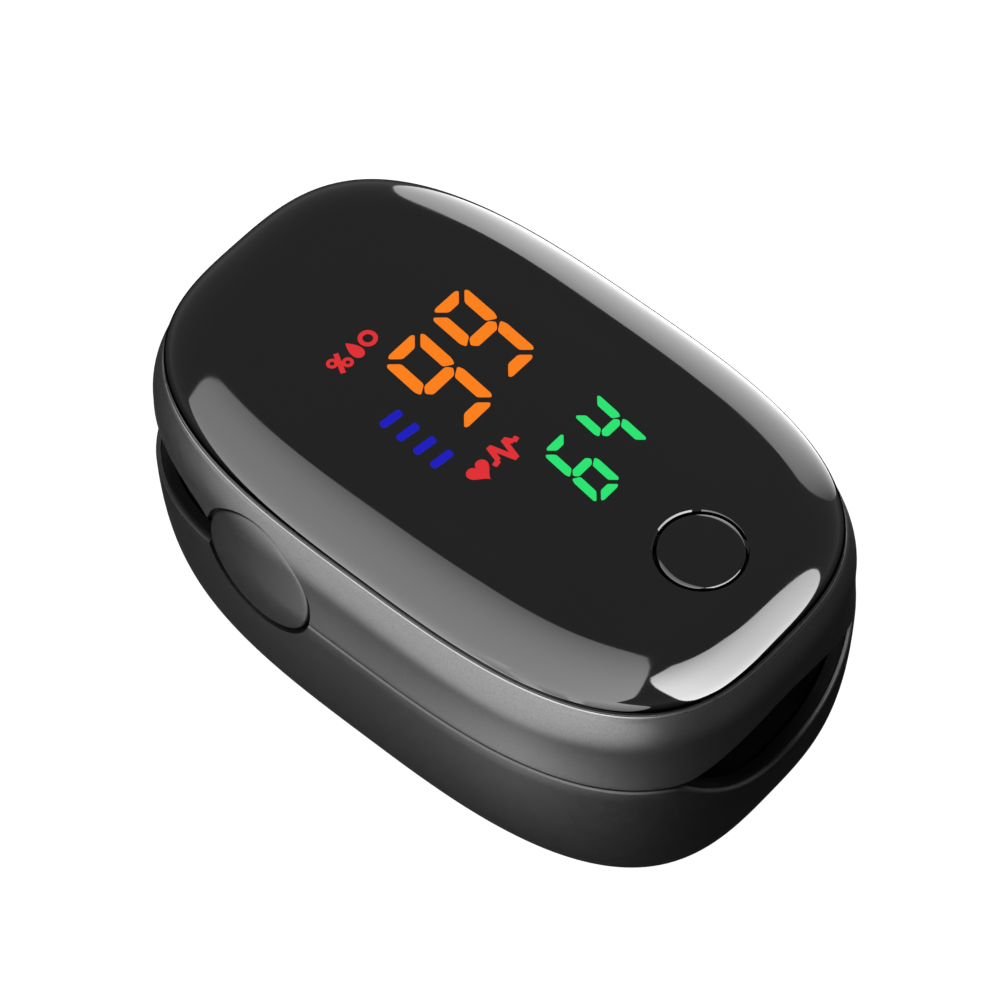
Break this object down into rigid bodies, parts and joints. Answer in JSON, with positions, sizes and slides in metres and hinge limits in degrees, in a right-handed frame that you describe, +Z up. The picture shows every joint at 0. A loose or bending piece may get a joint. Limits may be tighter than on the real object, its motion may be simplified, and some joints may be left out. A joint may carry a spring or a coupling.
{
  "type": "fingertip pulse oximeter",
  "caption": "Clip-on fingertip pulse oximeter: two sprung rounded jaws on a side hinge, glossy display lens, push button, finger pads and battery door.",
  "frame": {"origin": "on the ground, below the middle of the closed case", "axes": "+X along the case to the finger opening, +Z up through the lens, +Y to the left when looking along +X"},
  "size_m": [0.0625, 0.039, 0.0299],
  "materials": {
    "case_gunmetal": "satin metallic dark grey moulding",
    "lens_gloss": "gloss black",
    "frame_black": "matte black",
    "silicone_black": "soft matte black silicone",
    "steel": "bright steel",
    "nickel": "nickel plated spring steel",
    "circuit_board": "green solder mask",
    "chip_black": "moulded epoxy",
    "cell_jacket": "printed foil jacket",
    "display_housing": "dark grey",
    "red_window": "clear red tinted",
    "flex_film": "amber film"
  },
  "bodies": {
    "lower_jaw": {"battery_bridge_plate": "nickel", "battery_cell_left": "cell_jacket", "battery_cell_right": "cell_jacket", "battery_contact_left": "nickel", "battery_contact_right": "nickel", "battery_spring_left": "nickel", "battery_spring_right": "nickel", "flex_cable": "flex_film", "hinge_axle": "steel", "hinge_cap_left": "case_gunmetal", "hinge_cap_right": "case_gunmetal", "lower_case_screw_1": "steel", "lower_case_screw_2": "steel", "lower_case_screw_3": "steel", "lower_case_screw_4": "steel", "lower_finger_pad": "silicone_black", "lower_inner_frame": "frame_black", "lower_shell": "case_gunmetal", "photodiode": "chip_black", "sensor_board": "circuit_board", "sensor_window": "red_window", "torsion_spring_left": "steel", "torsion_spring_right": "steel"},
    "upper_jaw": {"board_screw_1": "steel", "board_screw_2": "steel", "board_screw_3": "steel", "board_screw_4": "steel", "crystal_can": "nickel", "display_module": "display_housing", "driver_chip": "chip_black", "emitter_led": "red_window", "emitter_window": "red_window", "lens_gasket": "silicone_black", "main_board": "circuit_board", "processor_chip": "chip_black", "switch_body": "steel", "top_lens": "lens_gloss", "upper_case_screw_1": "steel", "upper_case_screw_2": "steel", "upper_finger_pad": "silicone_black", "upper_inner_frame": "frame_black", "upper_shell": "case_gunmetal"},
    "push_button": {"power_button": "lens_gloss", "switch_plunger": "chip_black"},
    "battery_cover": {"battery_door": "case_gunmetal"}
  },
  "joints": [
    {"name": "jaw_hinge", "type": "hinge", "parent": "lower_jaw", "child": "upper_jaw", "pos_m": [-0.0102, 0, 0.0184], "axis": [0, -1, 0], "range_deg": [0, 18], "stiffness_Nm_per_rad": 0.25, "springref_deg": -20.05, "deforming": ["torsion_spring_left", "torsion_spring_right", "flex_cable"]},
    {"name": "button_press", "type": "slide", "parent": "upper_jaw", "child": "push_button", "axis": [0, 0, -1], "range_m": [0, 0.0004], "stiffness_N_per_m": 400, "springref_m": -0.0004},
    {"name": "door_slide", "type": "slide", "parent": "lower_jaw", "child": "battery_cover", "axis": [-1, 0, 0], "range_m": [0, 0.046]}
  ]
}
